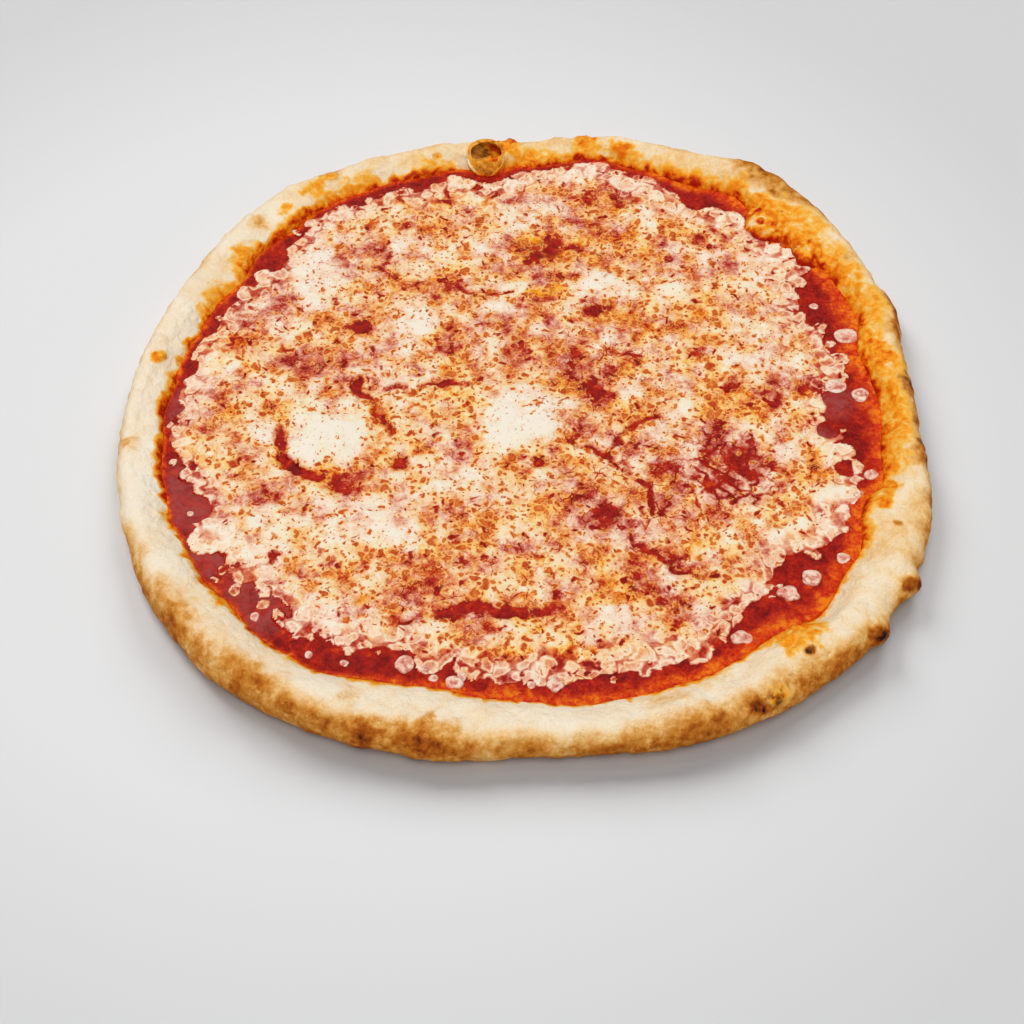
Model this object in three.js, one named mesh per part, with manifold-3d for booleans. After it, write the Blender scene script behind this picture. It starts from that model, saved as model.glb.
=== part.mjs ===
// A whole, uncut cheese pizza: a hand-stretched crust with a puffed rim, the tomato sauce that fills it,
// one sheet of melted cheese, and the loose drops of cheese that lie on the bare sauce round the sheet.
// Millimetres, +Z up. The origin is on the flat underside, at the middle of the crust's bounding box.
import * as THREE from 'three';
import { mergeVertices } from 'three/addons/utils/BufferGeometryUtils.js';
import Module from 'manifold-3d';

// Driving sizes
const CRUST_RADIUS = 170.5; // between the swells listed below; the mean diameter is 356, a 14-inch pizza
const RIM_WIDTH = 18;
const RIM_HEIGHT = 13;
const BASE_THICKNESS = 4.6; // of the dough under the sauce
const SAUCE_DEPTH = 1.3;
const CHEESE_THICKNESS = 2.6;
const CHEESE_EDGE_THICKNESS = 0.9;
const CHEESE_MARGIN = 5; // of bare sauce between the cheese and the rim, outside the bays
const LAYER_GAP = 0.3; // between neighbouring pieces

// Mesh fineness
const RIM_SEGMENTS = 180;
const EDGE_SEGMENTS = 150;
const CHEESE_PITCH = 7;
const SAUCE_PITCH = 12;

// The dough was pulled by hand, so the outline bulges: bearing in degrees from +X, mm outwards, width in degrees
const OUTLINE_SWELLS = [
  [18, 3.5, 5],
  [44, 14.5, 23],
  [84, 5, 34],
  [93, -6, 10],
  [134, 5, 12],
  [194, 1.5, 5],
  [229, 14.5, 33],
  [256, 2, 11],
  [302, 13, 23],
  [320, 7, 11],
  [334, 9, 8],
  [344, 6, 6],
];

// Where the rim is wider or narrower than RIM_WIDTH, in the same form
const RIM_WIDTH_SWELLS = [
  [42, 9, 6],
  [79, -5, 7],
  [96, 7, 5],
  [153, 3, 21],
  [183, -4, 6],
  [227, 6, 24],
  [257, 9, 15],
  [308, 11, 28],
  [338, 6, 8],
  [354, -3, 11],
];

// Where the rim rose higher in the oven
const RIM_HEIGHT_SWELLS = [
  [50, 1.5, 14],
  [92, -1.5, 20],
  [232, 3, 24],
  [300, 1.5, 16],
];

// Bays of bare sauce that cut into the cheese's edge
const SAUCE_BAYS = [
  [23, 18, 10],
  [55, 14, 9],
  [109, 6, 4],
  [142, 12, 4],
  [200, 8, 8],
  [223, 11, 13],
  [248, 12, 11],
  [276, 7, 11],
  [304, 6, 20],
  [321, 10, 12],
  [356, 17, 9],
];

// Lumps and knobs of the rim: place of the middle, radius, how far it stands out
const RIM_LUMPS = [
  { x: 50, y: 163, z: 13, radius: 9, out: 1.5 },
  { x: 112, y: 151, z: 12, radius: 9, out: 2.5 },
  { x: 123, y: 138, z: 12, radius: 9, out: 2.5 },
  { x: 115, y: 113, z: 8, radius: 10, out: 4 },
  { x: 132, y: 96, z: 7, radius: 5, out: 2 },
  { x: 167, y: -27, z: 8, radius: 10, out: 1.5 },
  { x: 155, y: -97, z: 6, radius: 6, out: 4 },
  { x: 139, y: -119, z: 6, radius: 6, out: 4 },
  { x: 107, y: -122, z: 12, radius: 8, out: 2 },
];

// The bubble that burst at the back: a dome that stands on the rim, with a crater inside
const BURST_BUBBLE = { x: -17, y: 159, radius: 10, rise: 6.5, crater: 8, craterRadius: 5 };

// Open patches in the cheese that show sauce: middle, half-axes, turn in degrees
const SAUCE_PATCHES = [
  { x: 87, y: -42, along: 21, across: 13, turn: -38 },
  { x: 33, y: 55, along: 9, across: 5, turn: -60 },
  { x: 4, y: -33, along: 8, across: 4, turn: 15 },
  { x: -100, y: -30, along: 9, across: 3, turn: -60 },
];

// Thick places in the cheese, and one blister: middle, radius, height above the rest
const CHEESE_MOUNDS = [
  { x: 0, y: -5, radius: 20, height: 1.1 },
  { x: -86, y: -19, radius: 18, height: 1.2 },
  { x: -68, y: -14, radius: 9, height: 0.8 },
  { x: -92, y: 80, radius: 18, height: 0.8 },
  { x: 34, y: 75, radius: 14, height: 0.8 },
  { x: 55, y: 115, radius: 13, height: 0.8 },
  { x: -110, y: -73, radius: 18, height: 0.8 },
  { x: 7, y: 97, radius: 12, height: 1.4 },
];

// Loose drops of cheese on the sauce: middle, radius
const CHEESE_DROPS = [
  { x: 145, y: 41, radius: 4.5 },
  { x: 148, y: 6, radius: 4 },
  { x: 147.5, y: -39, radius: 3 },
  { x: 117, y: -93, radius: 4 },
  { x: 107, y: -101, radius: 4 },
  { x: 86, y: -122, radius: 3.5 },
  { x: 12, y: -144, radius: 3.5 },
  { x: -27, y: -143.5, radius: 3 },
  { x: -46, y: -134, radius: 4 },
];

const COLOURS = { crust: 0xe3bd85, sauce: 0x9c2413, cheese: 0xead0b0 };
const ROUGHNESS = { crust: 0.7, sauce: 0.3, cheese: 0.4 };

const SAUCE_FLOOR = BASE_THICKNESS + LAYER_GAP;
const SAUCE_TOP = SAUCE_FLOOR + SAUCE_DEPTH;
const CHEESE_FLOOR = SAUCE_TOP + LAYER_GAP;
const RIM_FOOT_RADIUS = CRUST_RADIUS - RIM_WIDTH;

const degrees = THREE.MathUtils.radToDeg;
const radians = THREE.MathUtils.degToRad;
const smooth = THREE.MathUtils.smoothstep;

const wasm = await Module();
wasm.setup();

// --- Uneven shapes ---

// A small random source with a seed, so that every build gives the same pizza
function makeRandom(seed) {
  let state = seed;
  return () => {
    state = (state * 16807) % 2147483647;
    return state / 2147483647;
  };
}

// The sum of a list of swells at one bearing, each one a smooth bump round the outline
function swell(swells, bearing) {
  let total = 0;
  for (const [middle, amount, width] of swells) {
    const away = THREE.MathUtils.euclideanModulo(bearing - middle + 180, 360) - 180;
    total += amount * Math.exp(-((away / width) ** 2));
  }
  return total;
}

// A fine, closed waviness round the outline
function makeWaviness(seed, amplitude, fewest, most) {
  const random = makeRandom(seed);
  const waves = [];
  for (let count = fewest; count <= most; count += 2) {
    waves.push({ count, phase: 360 * random(), share: 0.5 + random() });
  }
  const scale = amplitude / Math.sqrt(waves.length);
  return (bearing) => waves.reduce(
    (sum, wave) => sum + scale * wave.share * Math.sin(radians(wave.count * bearing + wave.phase)), 0);
}

// Gentle hills over a flat layer: crossed waves of a few lengths
function makeHills(seed, amplitude, shortest, longest, number) {
  const random = makeRandom(seed);
  const waves = [];
  for (let i = 0; i < number; i += 1) {
    const length = THREE.MathUtils.lerp(shortest, longest, random());
    const heading = 2 * Math.PI * random();
    const turns = (2 * Math.PI) / length;
    waves.push({ kx: turns * Math.cos(heading), ky: turns * Math.sin(heading), phase: 2 * Math.PI * random() });
  }
  const scale = amplitude / Math.sqrt(number);
  return (x, y) => waves.reduce((sum, wave) => sum + scale * Math.sin(wave.kx * x + wave.ky * y + wave.phase), 0);
}

// A bump's share at a distance from its middle
function bump(distance, radius) {
  return Math.exp(-((distance / radius) ** 2));
}

const outlineWaviness = makeWaviness(11, 0.35, 9, 25);
const footWaviness = makeWaviness(23, 0.9, 11, 31);
const crestWaviness = makeWaviness(37, 0.6, 7, 29);
const cheeseEdgeWaviness = makeWaviness(41, 1.6, 13, 39);

function crustRadius(bearing) {
  return CRUST_RADIUS + swell(OUTLINE_SWELLS, bearing) + outlineWaviness(bearing);
}

function footRadius(bearing) {
  return crustRadius(bearing) - RIM_WIDTH - swell(RIM_WIDTH_SWELLS, bearing) + footWaviness(bearing);
}

function rimRise(bearing) {
  const height = RIM_HEIGHT + swell(RIM_HEIGHT_SWELLS, bearing) + crestWaviness(bearing);
  return (height - BASE_THICKNESS) / (RIM_HEIGHT - BASE_THICKNESS);
}

function cheeseEdgeRadius(bearing) {
  const margin = CHEESE_MARGIN + swell(SAUCE_BAYS, bearing) + cheeseEdgeWaviness(bearing);
  return footRadius(bearing) - Math.max(margin, 2);
}

// --- Meshes and solids ---

// Keeps positions only and joins the vertices that meet, which closes seams and poles
function welded(geometry) {
  const bare = geometry.clone();
  bare.deleteAttribute('normal');
  bare.deleteAttribute('uv');
  const whole = mergeVertices(bare, 1e-4);
  const index = [];
  for (let i = 0; i < whole.index.count; i += 3) {
    const corners = [whole.index.getX(i), whole.index.getX(i + 1), whole.index.getX(i + 2)];
    if (new Set(corners).size === 3) index.push(...corners);
  }
  whole.setIndex(index);
  return whole;
}

function moveVertices(geometry, place) {
  const position = geometry.attributes.position;
  const point = new THREE.Vector3();
  for (let i = 0; i < position.count; i += 1) {
    place(point.fromBufferAttribute(position, i));
    position.setXYZ(i, point.x, point.y, point.z);
  }
  return geometry;
}

function toSolid(geometry) {
  const whole = welded(geometry);
  return new wasm.Manifold(new wasm.Mesh({
    numProp: 3,
    vertProperties: new Float32Array(whole.attributes.position.array),
    triVerts: new Uint32Array(whole.index.array),
  }));
}

function fromSolid(solid) {
  const { vertProperties, triVerts } = solid.getMesh();
  const geometry = new THREE.BufferGeometry();
  geometry.setAttribute('position', new THREE.BufferAttribute(new Float32Array(vertProperties), 3));
  geometry.setIndex(new THREE.BufferAttribute(new Uint32Array(triVerts), 1));
  geometry.computeVertexNormals();
  return geometry;
}

// An outline given as a radius for each bearing, cut out of a flat plate
function plate(radiusAt, from, to, holes = []) {
  const corner = (i) => {
    const bearing = (360 * i) / EDGE_SEGMENTS;
    const radius = radiusAt(bearing);
    return new THREE.Vector2(radius * Math.cos(radians(bearing)), radius * Math.sin(radians(bearing)));
  };
  const shape = new THREE.Shape(Array.from({ length: EDGE_SEGMENTS }, (_, i) => corner(i)));
  shape.holes.push(...holes);
  const geometry = new THREE.ExtrudeGeometry(shape, { depth: to - from, bevelEnabled: false });
  return geometry.translate(0, 0, from);
}

// A square block under a height given for each place, wide enough for the whole pizza
function blockUnder(heightAt, floor, pitch) {
  const side = 2 * (CRUST_RADIUS + 10);
  const steps = Math.round(side / pitch);
  const geometry = new THREE.BoxGeometry(side, side, 2, steps, steps, 1);
  return moveVertices(geometry, (point) => {
    point.z = point.z > 0 ? heightAt(point.x, point.y) : floor;
  });
}

function piece(name, geometry, kind) {
  const material = new THREE.MeshStandardMaterial({
    color: COLOURS[kind],
    roughness: ROUGHNESS[kind],
    metalness: 0,
  });
  const mesh = new THREE.Mesh(geometry, material);
  mesh.name = name;
  return mesh;
}

// --- The crust ---

// Its section: flat underside, bulging side, rounded crest, and the slope down to the dish for the sauce
function crustSection() {
  const side = [
    [0.8, 0],
    [0.93, 1.3],
    [1, 4.4],
    [0.985, 7.6],
    [0.91, 10.4],
    [0.78, 12.4],
    [0.62, 13],
    [0.46, 12.2],
    [0.32, 10.3],
    [0.19, 8],
    [0.08, 6],
    [0, BASE_THICKNESS],
  ];
  const rim = side.map(([across, height]) => new THREE.Vector2(RIM_FOOT_RADIUS + across * RIM_WIDTH, height));
  return [new THREE.Vector2(0, 0), ...rim, new THREE.Vector2(0, BASE_THICKNESS)];
}

// Pulls a point of the even section to the uneven outline, rim width and height at its bearing
function stretchDough(point) {
  const bearing = degrees(Math.atan2(point.y, point.x));
  const even = Math.hypot(point.x, point.y);
  if (even < 1) return;
  const foot = footRadius(bearing);
  const across = (even - RIM_FOOT_RADIUS) / RIM_WIDTH;
  const radius = across <= 0 ? (even * foot) / RIM_FOOT_RADIUS : foot + across * (crustRadius(bearing) - foot);
  point.x *= radius / even;
  point.y *= radius / even;
  if (point.z > BASE_THICKNESS) {
    point.z = BASE_THICKNESS + (point.z - BASE_THICKNESS) * rimRise(bearing);
  }
}

// Raises the lumps away from the middle line of the rim, and sinks the burst bubble's crater.
// Inside the rim's middle line nothing moves below the top of the sauce.
function raiseLumps(point) {
  const bearing = Math.atan2(point.y, point.x);
  const middle = (crustRadius(degrees(bearing)) + footRadius(degrees(bearing))) / 2;
  const lowest = Math.hypot(point.x, point.y) < middle ? SAUCE_TOP : 0;
  if (point.z <= lowest) return;
  const core = new THREE.Vector3(middle * Math.cos(bearing), middle * Math.sin(bearing), BASE_THICKNESS);
  const outwards = point.clone().sub(core).normalize();
  let out = 0;
  for (const lump of RIM_LUMPS) {
    out += lump.out * bump(point.distanceTo(new THREE.Vector3(lump.x, lump.y, lump.z)), lump.radius);
  }
  point.addScaledVector(outwards, out * smooth(point.z, lowest, lowest + 3));
  const burst = Math.hypot(point.x - BURST_BUBBLE.x, point.y - BURST_BUBBLE.y);
  const rise = BURST_BUBBLE.rise * bump(burst, BURST_BUBBLE.radius);
  const sink = BURST_BUBBLE.crater * bump(burst, BURST_BUBBLE.craterRadius);
  point.z += (rise - sink) * smooth(point.z, SAUCE_TOP, SAUCE_TOP + 3);
}

function crust() {
  const geometry = new THREE.LatheGeometry(crustSection(), RIM_SEGMENTS).rotateX(Math.PI / 2);
  moveVertices(geometry, stretchDough);
  moveVertices(geometry, raiseLumps);
  return piece('crust', fromSolid(toSolid(geometry)), 'crust');
}

// --- The sauce ---

function sauce() {
  const dips = makeHills(53, 0.3, 14, 45, 7);
  const relief = blockUnder((x, y) => SAUCE_TOP - 0.4 + Math.min(dips(x, y), 0.4), SAUCE_FLOOR - 1, SAUCE_PITCH);
  const filling = plate((bearing) => footRadius(bearing) - LAYER_GAP, SAUCE_FLOOR, SAUCE_TOP + 1);
  return piece('sauce', fromSolid(toSolid(relief).intersect(toSolid(filling))), 'sauce');
}

// --- The cheese ---

function patchOutline(patch) {
  const path = new THREE.Path();
  path.absellipse(patch.x, patch.y, patch.along, patch.across, 0, 2 * Math.PI, false, radians(patch.turn));
  return path;
}

// How far a place is from a patch's middle, with 1 at its edge
function patchDistance(patch, x, y) {
  const turn = radians(patch.turn);
  const along = (x - patch.x) * Math.cos(turn) + (y - patch.y) * Math.sin(turn);
  const across = (y - patch.y) * Math.cos(turn) - (x - patch.x) * Math.sin(turn);
  return Math.hypot(along / patch.along, across / patch.across);
}

// The top of the melted sheet: hilly, thick at the mounds, thin at its edge and beside the open patches
function cheeseHeight(hills, x, y) {
  const bearing = degrees(Math.atan2(y, x));
  const fromEdge = cheeseEdgeRadius(bearing) - Math.hypot(x, y);
  let full = CHEESE_THICKNESS + hills(x, y);
  for (const mound of CHEESE_MOUNDS) {
    full += mound.height * bump(Math.hypot(x - mound.x, y - mound.y), mound.radius);
  }
  let share = smooth(fromEdge, 0, 14);
  for (const patch of SAUCE_PATCHES) {
    share = Math.min(share, smooth(patchDistance(patch, x, y), 0.9, 1.7));
  }
  return CHEESE_FLOOR + THREE.MathUtils.lerp(CHEESE_EDGE_THICKNESS, full, share);
}

function cheese() {
  const hills = makeHills(67, 0.5, 16, 60, 9);
  const relief = blockUnder((x, y) => cheeseHeight(hills, x, y), CHEESE_FLOOR - 1, CHEESE_PITCH);
  const sheet = plate(cheeseEdgeRadius, CHEESE_FLOOR, CHEESE_FLOOR + 10, SAUCE_PATCHES.map(patchOutline));
  return piece('cheese', fromSolid(toSolid(relief).intersect(toSolid(sheet))), 'cheese');
}

// A loose drop: a low dome that melted flat on the sauce
function cheeseDrop(drop, number) {
  const height = 1.6;
  const section = [
    new THREE.Vector2(0, 0),
    new THREE.Vector2(drop.radius, 0),
    new THREE.Vector2(0.96 * drop.radius, 0.4 * height),
    new THREE.Vector2(0.7 * drop.radius, 0.85 * height),
    new THREE.Vector2(0, height),
  ];
  const geometry = new THREE.LatheGeometry(section, 12).rotateX(Math.PI / 2);
  moveVertices(geometry, (point) => {
    const bearing = Math.atan2(point.y, point.x);
    const uneven = 1 + 0.12 * Math.sin(2 * bearing + number) + 0.06 * Math.sin(3 * bearing + 2 * number);
    point.x *= uneven;
    point.y *= uneven;
  });
  const mesh = piece(`cheese_drop_${String(number).padStart(2, '0')}`, fromSolid(toSolid(geometry)), 'cheese');
  mesh.position.set(drop.x, drop.y, CHEESE_FLOOR);
  return mesh;
}

// --- The whole pizza ---

const pizza = new THREE.Group();
pizza.add(crust(), sauce(), cheese());
CHEESE_DROPS.forEach((drop, i) => pizza.add(cheeseDrop(drop, i + 1)));

// Brings the middle of the crust's bounding box over the origin
pizza.updateMatrixWorld(true);
const middle = new THREE.Box3().setFromObject(pizza).getCenter(new THREE.Vector3());
pizza.position.set(-middle.x, -middle.y, 0);

export default pizza;
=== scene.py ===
import math

import bpy
import numpy as np
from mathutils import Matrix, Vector


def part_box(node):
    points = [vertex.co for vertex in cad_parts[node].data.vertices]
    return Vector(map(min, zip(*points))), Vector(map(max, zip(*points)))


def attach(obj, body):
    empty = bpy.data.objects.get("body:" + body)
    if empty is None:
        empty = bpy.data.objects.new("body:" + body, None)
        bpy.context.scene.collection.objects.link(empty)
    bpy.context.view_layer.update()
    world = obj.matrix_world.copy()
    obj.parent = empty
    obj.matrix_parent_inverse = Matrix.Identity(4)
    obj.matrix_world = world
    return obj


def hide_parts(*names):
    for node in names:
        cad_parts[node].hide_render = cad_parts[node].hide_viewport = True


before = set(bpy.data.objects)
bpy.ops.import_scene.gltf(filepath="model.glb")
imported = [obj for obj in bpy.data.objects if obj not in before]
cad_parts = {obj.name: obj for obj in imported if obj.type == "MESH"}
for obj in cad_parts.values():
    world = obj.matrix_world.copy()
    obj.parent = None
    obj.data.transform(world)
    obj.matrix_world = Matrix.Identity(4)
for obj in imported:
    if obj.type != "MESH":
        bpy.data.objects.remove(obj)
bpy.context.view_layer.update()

# --- The camera ---
# A long lens looks down on the pizza from the front, from where a person at the table stands.
# Sizes in this file are millimetres from the point that the dough was turned about, and become
# metres in the frame only where a mesh is finished.

MIDDLE = Vector((0.25, 1.92, 0.0))


def in_frame(place):
    """A place in millimetres from the dough's middle, as metres in the frame"""
    return (Vector(place) + MIDDLE) / 1000


def corners_of(piece):
    """Where the corners of a mesh are, as rows of x, y, z"""
    places = np.empty(len(piece.data.vertices) * 3)
    piece.data.vertices.foreach_get("co", places)
    return places.reshape(-1, 3)


def move_corners(piece, places):
    """Moves the corners of a mesh to places in millimetres from the dough's middle"""
    piece.data.vertices.foreach_set("co", ((places + np.array(MIDDLE)) / 1000).ravel())


AIM = (-4.4, -54.2, 0.0)
CAMERA_PLACE = (-4.4, -532.4, 612.1)
bpy.ops.object.camera_add(location=in_frame(CAMERA_PLACE))
camera = bpy.context.object
camera.name = "camera"
camera.rotation_euler = (in_frame(AIM) - in_frame(CAMERA_PLACE)).to_track_quat("-Z", "Y").to_euler()
camera.data.lens = 65
camera.data.sensor_width = 36
bpy.context.scene.camera = camera
bpy.context.scene.view_settings.view_transform = "Standard"

# --- The crust ---
# Hand-pulled wheat dough: a thin flat base and a puffed rim in one piece, floured on the left,
# baked golden on its sides, stained by the sauce on the inside, with toasted and burst blisters.
# The CAD solid's section at every two degrees is followed, and the dough's skin is laid over it.

CAD_COLUMNS = 180
COLUMNS = 1260
SECTION_POINTS = 12
ROWS_PER_SPAN = (3, 6, 6, 6, 6, 7, 7, 7, 6, 6, 2)
UNDERSIDE_ROWS = (0.0, 0.35, 0.7, 0.93)
DISH_ROWS = (0.96, 0.6, 0.0)
DISH_FLOOR = 4.6


def smooth(low, high, value):
    """0 below low, 1 above high, and an eased rise between them"""
    part = np.clip((value - low) / (high - low), 0, 1)
    return part * part * (3 - 2 * part)


def hills(places, pitch, seed):
    """Random rounded hills about this far apart, between -1 and 1, at an array of places"""
    heights = np.random.default_rng(seed).uniform(-1, 1, (32, 32, 32))
    cell = np.asarray(places, float) / pitch
    corner = np.floor(cell).astype(int)
    part = cell - corner
    part = part ** 3 * (part * (part * 6 - 15) + 10)
    total = 0
    for step in np.ndindex(2, 2, 2):
        i, j, k = [(corner[..., axis] + step[axis]) % 32 for axis in range(3)]
        weight = 1
        for axis in range(3):
            weight = weight * (part[..., axis] if step[axis] else 1 - part[..., axis])
        total = total + heights[i, j, k] * weight
    return total


def rough(places, pitch, seed, layers=3):
    """Hills with smaller hills on them, each layer half the size of the last"""
    total = 0
    for layer in range(layers):
        total = total + hills(places, pitch / 2 ** layer, seed + layer) / 2 ** layer
    return total


def section_of(node):
    """The radius and height of a turned CAD node's section points, at each of its bearings"""
    places = corners_of(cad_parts[node]) * 1000
    places = np.unique((places - np.array(MIDDLE)).round(3), axis=0)
    reach = np.hypot(places[:, 0], places[:, 1])
    bearing = np.degrees(np.arctan2(places[:, 1], places[:, 0]))
    column = np.round(bearing * CAD_COLUMNS / 360).astype(int) % CAD_COLUMNS
    radius = np.zeros((CAD_COLUMNS, SECTION_POINTS))
    height = np.zeros((CAD_COLUMNS, SECTION_POINTS))
    for index in range(CAD_COLUMNS):
        here = places[(column == index) & (reach > 1)]
        across = np.hypot(here[:, 0], here[:, 1])
        centre = (across.min() + across.max()) / 2
        turn = np.degrees(np.arctan2(here[:, 2] - 5, across - centre))
        order = np.argsort((turn + 100) % 360)
        radius[index] = across[order]
        height[index] = here[order, 2]
    return radius, height


def resampled(values, count):
    """A value round the whole rim, at more bearings, with no steps between the old ones"""
    spectrum = np.fft.rfft(values, axis=0)
    return np.fft.irfft(spectrum, count, axis=0) * count / values.shape[0]


def through(before, start, end, after, part):
    """A point on the smooth curve through four points, between the middle two"""
    bend = 2 * before - 5 * start + 4 * end - after
    twist = 3 * start - before - 3 * end + after
    return start + part / 2 * (end - before + part * (bend + part * twist))


def ringed(radius, height, turns):
    """Places this far from the upright axis and this high, at each bearing in radians"""
    return np.stack([radius * np.cos(turns), radius * np.sin(turns), height + 0 * turns], axis=-1)


def rolled_sheet(name, places):
    """A grid rolled round the upright axis: places is an array of rows, columns and x, y, z"""
    rows, columns = places.shape[:2]
    bpy.ops.mesh.primitive_grid_add(x_subdivisions=columns, y_subdivisions=rows - 1, size=2)
    sheet = bpy.context.object
    sheet.name = name
    flat = corners_of(sheet)
    column = np.round((flat[:, 0] + 1) / 2 * columns).astype(int) % columns
    row = np.round((flat[:, 1] + 1) / 2 * (rows - 1)).astype(int)
    move_corners(sheet, places[row, column])
    return sheet, row, column


def coat(piece, name, values):
    """Stores a value at every corner of the piece's mesh, for its material to read"""
    layer = piece.data.attributes.new(name, "FLOAT", "POINT")
    layer.data.foreach_set("value", np.asarray(values, np.float32).ravel())


def close_seams():
    """Merges the new piece's corners that meet at a seam or a pole, and turns its faces outwards"""
    bpy.ops.object.mode_set(mode="EDIT")
    bpy.ops.mesh.select_all(action="SELECT")
    bpy.ops.mesh.remove_doubles(threshold=0.000001)
    bpy.ops.mesh.normals_make_consistent(inside=False)
    bpy.ops.object.mode_set(mode="OBJECT")
    bpy.ops.object.shade_smooth()


def join_to_first(pieces):
    bpy.ops.object.select_all(action="DESELECT")
    for piece in pieces:
        piece.select_set(True)
    bpy.context.view_layer.objects.active = pieces[0]
    bpy.ops.object.join()


ring_radius, ring_height = section_of("crust")
ring_radius = resampled(ring_radius, COLUMNS)
ring_height = resampled(ring_height, COLUMNS)
turns = np.arange(COLUMNS) * 2 * math.pi / COLUMNS
bearings = np.degrees(turns)

row_parts = [(span, step / rows) for span, rows in enumerate(ROWS_PER_SPAN) for step in range(rows)]


def with_more_rows(rings, beyond):
    """The section's smooth curve at every row, with its ends led on from this far inwards"""
    points = [rings[:, 0] - beyond, *rings.T, rings[:, -1] - beyond]
    return np.array([through(*points[span:span + 4], part) for span, part in row_parts]
                    + [rings[:, -1]])


rim = ringed(with_more_rows(ring_radius, 3), with_more_rows(ring_height, 0), turns)
# How far along the section each row is, from 0 under the rim to 1 at its foot inside
rim_station = [(span + part) / (SECTION_POINTS - 1) for span, part in row_parts] + [1.0]
rim_station = np.array(rim_station)[:, None] * np.ones(COLUMNS)

# The burst bubble is a piece of its own, so the dough under it sinks out of its way
BUBBLE_PLACE = (-17.0, 158.5)
BUBBLE_RADIUS = 10.2


def distance_to(places, x, y):
    return np.hypot(places[..., 0] - x, places[..., 1] - y)


# Marks on the rim are placed as the camera sees them, on one level above the table
SEEN_LEVEL = 7.0


def as_seen(places):
    """Where the camera sees these places on that level"""
    eye = np.array(CAMERA_PLACE)
    return eye + (places - eye) * ((eye[2] - SEEN_LEVEL) / (eye[2] - places[..., 2:]))


from_bubble = distance_to(rim, *BUBBLE_PLACE)
lowered = 6.0 + 6.6 * smooth(BUBBLE_RADIUS - 2.8, BUBBLE_RADIUS - 0.4, from_bubble)
near_bubble = 1 - smooth(BUBBLE_RADIUS + 2, BUBBLE_RADIUS + 6, from_bubble)
rim[..., 2] -= near_bubble * np.maximum(rim[..., 2] - lowered, 0)


def outward(places):
    """The direction that the sheet faces at every row and column of a rolled sheet"""
    along = np.roll(places, -1, axis=1) - np.roll(places, 1, axis=1)
    across = np.gradient(places, axis=0)
    facing = np.cross(along, across)
    return facing / np.maximum(np.linalg.norm(facing, axis=-1, keepdims=True), 1e-9)


facing = outward(rim)
rim_bearing = np.broadcast_to(bearings, rim.shape[:2])
loose_skin = smooth(0.0, 0.12, rim_station) * (1 - smooth(0.9, 0.99, rim_station))


def facing_bearing(centre, spread, bearing=rim_bearing):
    """1 at a bearing and falling to 0 this many degrees to either side of it"""
    away = np.abs((bearing - centre + 180) % 360 - 180)
    return 1 - smooth(0, spread, away)


left_side = facing_bearing(185, 75)
rise = 0.6 * hills(rim, 17, 1) + 0.55 * hills(rim, 8, 2) + 0.36 * hills(rim, 4.2, 3)
rise += 0.16 * hills(rim, 2.1, 4) + 0.06 * hills(rim, 1.1, 5)

# Fine wrinkles run across the floured rim on the left
wrinkle_places = np.stack([rim_bearing * 2.9, rim_station * 3.0, rim_bearing * 0], axis=-1)
wrinkles = hills(wrinkle_places, 1.6, 6) + 0.6 * hills(wrinkle_places, 3.4, 7)
rise += 0.16 * left_side * wrinkles * smooth(0.2, 0.5, rim_station)

# Seeded small blisters all over the dough's skin
SMALL_BLISTERS = 420
blister_rng = np.random.default_rng(20)
for _ in range(SMALL_BLISTERS):
    at_row = blister_rng.integers(6, rim.shape[0] - 6)
    at_column = blister_rng.integers(0, COLUMNS)
    size = blister_rng.uniform(1.0, 3.4)
    window = (np.arange(at_column - 8, at_column + 9)) % COLUMNS
    gap = np.linalg.norm(rim[:, window] - rim[at_row, at_column], axis=-1)
    swell = size * blister_rng.uniform(0.05, 0.2) * np.clip(1 - (gap / size) ** 2, 0, 1) ** 1.5
    rise[:, window] += swell * blister_rng.choice((1, 1, 1, -0.7))

# Toasted and swollen places: x, y, reach, how far they stand out
SWOLLEN_PLACES = (
    (-5, 173, 5, 1.3), (31, 174, 7, 1.5), (50, 165, 8, 1.0), (112, 152, 9, 0.8),
    (122, 139, 8, 0.9), (111, 113, 9, 1.2), (132, 96, 5, 1.3), (157, -96, 6, 1.0),
    (140, -119, 6, 1.2), (98, -149, 7, 0.9), (-161, 28, 4, 0.7), (-150, 37, 3, 0.6),
    (-129, 88, 6, 0.6), (168, -27, 7, 0.7),
)
seen = as_seen(rim)
for x, y, reach, stands in SWOLLEN_PLACES:
    inside = 1 - smooth(0.2, 1, distance_to(seen, x, y) / reach)
    rise += inside * stands * (0.6 + 0.7 * rough(rim, 3, int(x) % 17 + 40))

# A flap of cheese has baked onto the rim at the front right, in folds
rim_flap = 1 - smooth(0.55, 1.1, np.hypot(
    ((seen[..., 0] - 108) * 0.8 + (seen[..., 1] + 121) * 0.6) / 11,
    ((seen[..., 1] + 121) * 0.8 - (seen[..., 0] - 108) * 0.6) / 14,
))
folds = 1 - 2 * np.abs(hills(rim, 4.2, 50)) + 0.5 * (1 - 2 * np.abs(hills(rim, 2.1, 51)))
rise += rim_flap * (0.5 + 0.9 * folds)

# A crease at the left
crease = np.hypot((seen[..., 0] + 156) / 2.0, (seen[..., 1] + 28) / 9)
rise -= 0.9 * (1 - smooth(0, 1.2, crease))
rim += facing * (rise * loose_skin)[..., None]

# The rim's inner slope creeps over the sauce or draws back: bearing, millimetres, spread in degrees
SLOPE_CREEP = (
    (12, 2.5, 12), (40, 3.5, 16), (60, 2, 10), (84, 2, 9), (108, 2, 8), (133, 4, 12),
    (146, 2, 9), (186, 3, 18), (220, 2, 20), (254, 2.2, 18), (336, 2, 9), (318, -2.5, 14),
    (96, -6, 10),
)


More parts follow.
